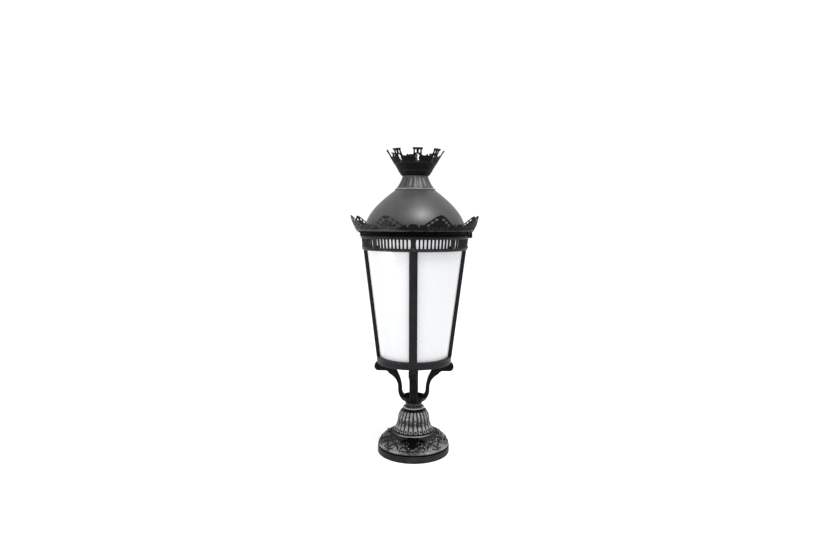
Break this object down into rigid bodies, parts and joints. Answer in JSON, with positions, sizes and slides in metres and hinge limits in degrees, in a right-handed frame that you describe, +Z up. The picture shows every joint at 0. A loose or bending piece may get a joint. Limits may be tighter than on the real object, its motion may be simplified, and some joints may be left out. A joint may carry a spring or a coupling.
{
  "type": "street light",
  "caption": "Post-top street light with an opal glazed lantern, pierced frieze, leaf cresting, hinged dome roof with a crown, S-armed yoke and a round gadrooned foot.",
  "frame": {"origin": "centre of the foot's underside, on the ground", "axes": "+Z up the lantern's axis, -Y towards the front bar that faces the viewer, +X to the side with the roof's hinge"},
  "size_m": [0.4892, 0.4892, 1.207],
  "materials": {
    "black_paint": "satin black paint",
    "pewter_casting": "dark pewter with rubbed highlights",
    "opal_sheet": "opal white, smooth",
    "zinc_steel": "zinc plated",
    "rubber": "matt",
    "white_paint": "gloss white paint",
    "white_plastic": "matt white",
    "lamp_glass": "frosted"
  },
  "bodies": {
    "lantern": {"foot": "pewter_casting", "bell": "pewter_casting", "collar": "pewter_casting", "yoke": "black_paint", "tie_tube": "zinc_steel", "tie_nuts": "zinc_steel", "lower_ring": "black_paint", "yoke_bolts": "zinc_steel", "bottom_tray": "black_paint", "cable_gland": "rubber", "gland_nut": "rubber", "bar_front": "black_paint", "bar_right": "black_paint", "bar_back": "black_paint", "bar_left": "black_paint", "panel_front_right": "opal_sheet", "panel_back_right": "opal_sheet", "panel_back_left": "opal_sheet", "panel_front_left": "opal_sheet", "frieze_ring": "black_paint", "frieze_screws": "zinc_steel", "panel_clips": "black_paint", "gear_tray": "white_paint", "tray_screws": "zinc_steel", "reflector": "white_paint", "lamp_holder": "white_plastic", "lamp_cap": "zinc_steel", "lamp_glass": "lamp_glass", "ballast": "black_paint", "ignitor": "zinc_steel", "capacitor": "white_plastic", "terminal_block": "white_plastic", "lid_gasket": "rubber", "hinge_pin": "zinc_steel"},
    "roof": {"lid_ring": "black_paint", "leaf_ring": "black_paint", "leaf_screws": "zinc_steel", "leaf_nuts": "zinc_steel", "dome": "black_paint", "neck_collar": "black_paint", "crown": "black_paint", "roof_stud": "zinc_steel", "roof_nuts": "zinc_steel", "closing_screw": "zinc_steel"}
  },
  "joints": [
    {"name": "roof_hinge", "type": "hinge", "parent": "lantern", "child": "roof", "pos_m": [0.2205, 0, 0.876], "axis": [0, 1, 0], "range_deg": [0, 100]}
  ]
}
